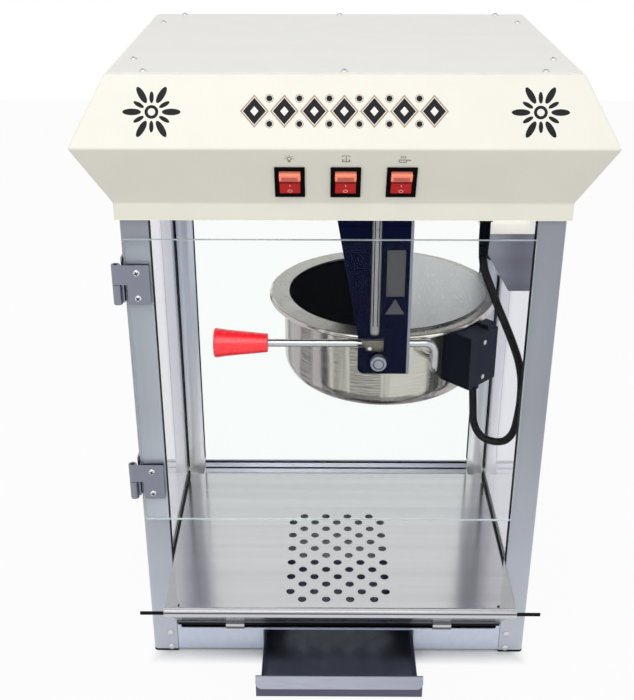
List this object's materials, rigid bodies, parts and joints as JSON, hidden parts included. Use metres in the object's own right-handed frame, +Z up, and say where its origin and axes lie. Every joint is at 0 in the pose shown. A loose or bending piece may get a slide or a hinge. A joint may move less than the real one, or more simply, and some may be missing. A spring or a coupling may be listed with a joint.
{
  "type": "popcorn maker",
  "caption": "Countertop popcorn maker: glazed cabinet with lit canopy, hinged glass door, tilting stirred kettle with folding lid, serving chute and crumb drawer.",
  "frame": {"origin": "on the surface it stands on, under the centre of the whole machine's bounding box at rest, with its drawer pulled out", "axes": "+X to the machine's right as seen by the user, -Y towards the user (door, chute and drawer), +Z up"},
  "size_m": [0.56, 0.5138, 0.752],
  "materials": {
    "galvanised": "satin",
    "rubber": "matte",
    "brushed_steel": "brushed",
    "post_aluminium": "satin anodised",
    "bright_steel": "polished",
    "clear_glass": "polished",
    "cream_paint": "gloss",
    "roof_paint": "gloss",
    "black_plastic": "satin",
    "cord_rubber": "satin",
    "dark_mirror_steel": "mirror, dark blue",
    "polished_steel": "polished",
    "dark_coating": "satin non-stick",
    "cast_aluminium": "cast",
    "bulb_glass": "frosted",
    "red_plastic": "gloss",
    "rocker_red": "gloss"
  },
  "bodies": {
    "cabinet": {"base_front_panel": "galvanised", "base_panels": "galvanised", "rubber_feet": "rubber", "drawer_runners": "galvanised", "deck_plate": "brushed_steel", "apron": "brushed_steel", "apron_edge_strip": "rubber", "post_front_left": "post_aluminium", "post_front_right": "post_aluminium", "post_back_left": "post_aluminium", "post_back_right": "post_aluminium", "post_screws": "bright_steel", "side_glass_left": "clear_glass", "side_glass_right": "clear_glass", "back_glass": "clear_glass", "glass_gaskets": "rubber", "back_sill": "brushed_steel", "canopy_shell": "cream_paint", "canopy_cover": "roof_paint", "cover_screws": "bright_steel", "canopy_floor": "brushed_steel", "switch_bezels": "black_plastic", "gear_motor": "cast_aluminium", "hanger_front": "dark_mirror_steel", "hanger_rear": "dark_mirror_steel", "hanger_trim": "bright_steel", "hanger_gear_case": "brushed_steel", "lamp_shade": "brushed_steel", "lamp_holder": "black_plastic", "lamp_bulb": "bulb_glass", "outlet_socket": "black_plastic", "kettle_plug": "black_plastic", "kettle_cord": "cord_rubber", "mains_inlet": "black_plastic", "hinge_cabinet_leaves": "polished_steel", "hinge_pins": "bright_steel"},
    "door": {"door_glass": "clear_glass", "hinge_door_leaves": "polished_steel", "hinge_screws": "bright_steel"},
    "kettle": {"kettle_shell": "polished_steel", "kettle_bowl": "dark_coating", "kettle_rim": "polished_steel", "heater_plate": "cast_aluminium", "lid_fixed": "brushed_steel", "pivot_blocks": "polished_steel", "pivot_knob": "post_aluminium", "kettle_gear_case": "brushed_steel", "handle_rod": "bright_steel", "handle_grip": "red_plastic", "connector_housing": "black_plastic", "housing_screws": "bright_steel"},
    "lid_flap": {"lid_flap": "brushed_steel"},
    "stirrer": {"stirrer": "polished_steel"},
    "cross_shaft": {"cross_shaft": "bright_steel"},
    "drive_rod": {"drive_rod": "bright_steel"},
    "drawer": {"drawer_tray": "dark_coating", "drawer_front": "galvanised"},
    "rocker_light": {"rocker_light": "rocker_red"},
    "rocker_stir": {"rocker_stir": "rocker_red"},
    "rocker_heat": {"rocker_heat": "rocker_red"}
  },
  "joints": [
    {"name": "door_swing", "type": "hinge", "parent": "cabinet", "child": "door", "pos_m": [-0.248, -0.16838, 0.39], "axis": [0, 0, -1], "range_deg": [0, 115]},
    {"name": "kettle_tilt", "type": "hinge", "parent": "cabinet", "child": "kettle", "pos_m": [0.043, 0.01762, 0.416], "axis": [0, -1, 0], "range_deg": [0, 95], "deforming": ["kettle_cord"]},
    {"name": "lid_flap_hinge", "type": "hinge", "parent": "kettle", "child": "lid_flap", "pos_m": [0.0555, 0.01762, 0.43945], "axis": [0, -1, 0], "range_deg": [0, 180]},
    {"name": "drive_rod_spin", "type": "hinge", "parent": "cabinet", "child": "drive_rod", "pos_m": [0.043, 0.19562, 0.5], "axis": [0, 0, 1], "continuous": true},
    {"name": "cross_shaft_spin", "type": "hinge", "parent": "cabinet", "child": "cross_shaft", "pos_m": [0.043, 0.10562, 0.416], "axis": [0, 1, 0], "continuous": true},
    {"name": "stirrer_spin", "type": "hinge", "parent": "kettle", "child": "stirrer", "pos_m": [0.0555, 0.01762, 0.38], "axis": [0, 0, 1], "continuous": true},
    {"name": "drawer_slide", "type": "slide", "parent": "cabinet", "child": "drawer", "axis": [0, -1, 0], "range_m": [-0.0835, 0.116]},
    {"name": "rocker_light_switch", "type": "hinge", "parent": "cabinet", "child": "rocker_light", "pos_m": [-0.056, -0.17773, 0.64381], "axis": [-1, 0, 0], "range_deg": [0, 14]},
    {"name": "rocker_stir_switch", "type": "hinge", "parent": "cabinet", "child": "rocker_stir", "pos_m": [0.002, -0.17773, 0.64381], "axis": [-1, 0, 0], "range_deg": [0, 14]},
    {"name": "rocker_heat_switch", "type": "hinge", "parent": "cabinet", "child": "rocker_heat", "pos_m": [0.06, -0.17773, 0.64381], "axis": [-1, 0, 0], "range_deg": [0, 14]}
  ],
  "couplings": [
    {"joint": "cross_shaft_spin", "follows": "drive_rod_spin", "ratio": -1},
    {"joint": "stirrer_spin", "follows": "drive_rod_spin", "ratio": 0.05}
  ]
}
